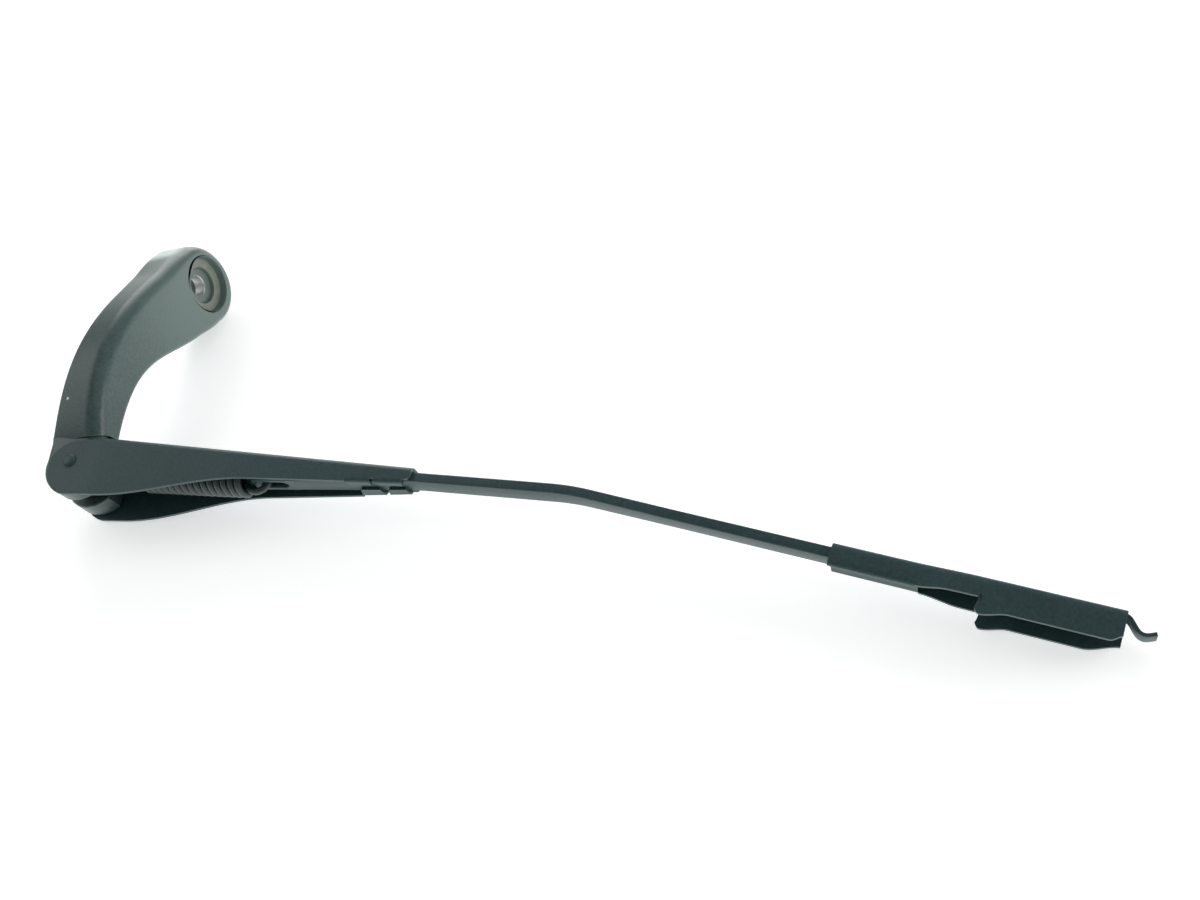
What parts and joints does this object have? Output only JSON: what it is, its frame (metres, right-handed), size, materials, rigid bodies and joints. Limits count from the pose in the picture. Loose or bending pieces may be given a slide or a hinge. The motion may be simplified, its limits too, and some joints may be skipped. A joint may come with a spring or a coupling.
{
  "type": "windscreen wiper arm",
  "caption": "Sprung wiper arm: curved cast head with a spindle recess, hinged sheet channel with a tension spring, flat bent bar and a crimped blade connector",
  "frame": {"origin": "middle of the spindle bore in the head, on the bore's axis", "axes": "+Z is the spindle axis, pointing away from the glass; +X runs from the spindle towards the hinge; +Y completes the right-handed frame. The rest pose is the picture's: the arm lifted 85.8 degrees about the hinge pin."},
  "size_m": [0.2256, 0.0681, 0.4273],
  "materials": {
    "cast_coat": "satin black coat on a die casting, worn pale at raised edges",
    "steel_coat": "satin black coat on steel sheet and bar",
    "spring_steel": "dark coated spring steel",
    "bare_steel": "plain turned steel"
  },
  "bodies": {
    "head_body": {"head": "cast_coat", "anchor_pin": "bare_steel"},
    "arm_body": {"retainer": "steel_coat", "hinge_pin": "steel_coat", "rod": "steel_coat", "blade_connector": "steel_coat"},
    "link_body": {"hook_link": "spring_steel", "tension_spring": "spring_steel"}
  },
  "joints": [
    {"name": "arm_lift", "type": "hinge", "parent": "head_body", "child": "arm_body", "pos_m": [0.1166, -0.0258, -0.0019], "axis": [0, 0.9954, -0.0958], "range_deg": [0, 92], "deforming": ["tension_spring"]},
    {"name": "link_swing", "type": "hinge", "parent": "head_body", "child": "link_body", "pos_m": [0.1148, -0.02661, -0.01026], "axis": [0, 0.9954, -0.0958], "range_deg": [0, 85.7]}
  ],
  "couplings": [
    {"joint": "link_swing", "follows": "arm_lift", "ratio": 0.931}
  ]
}
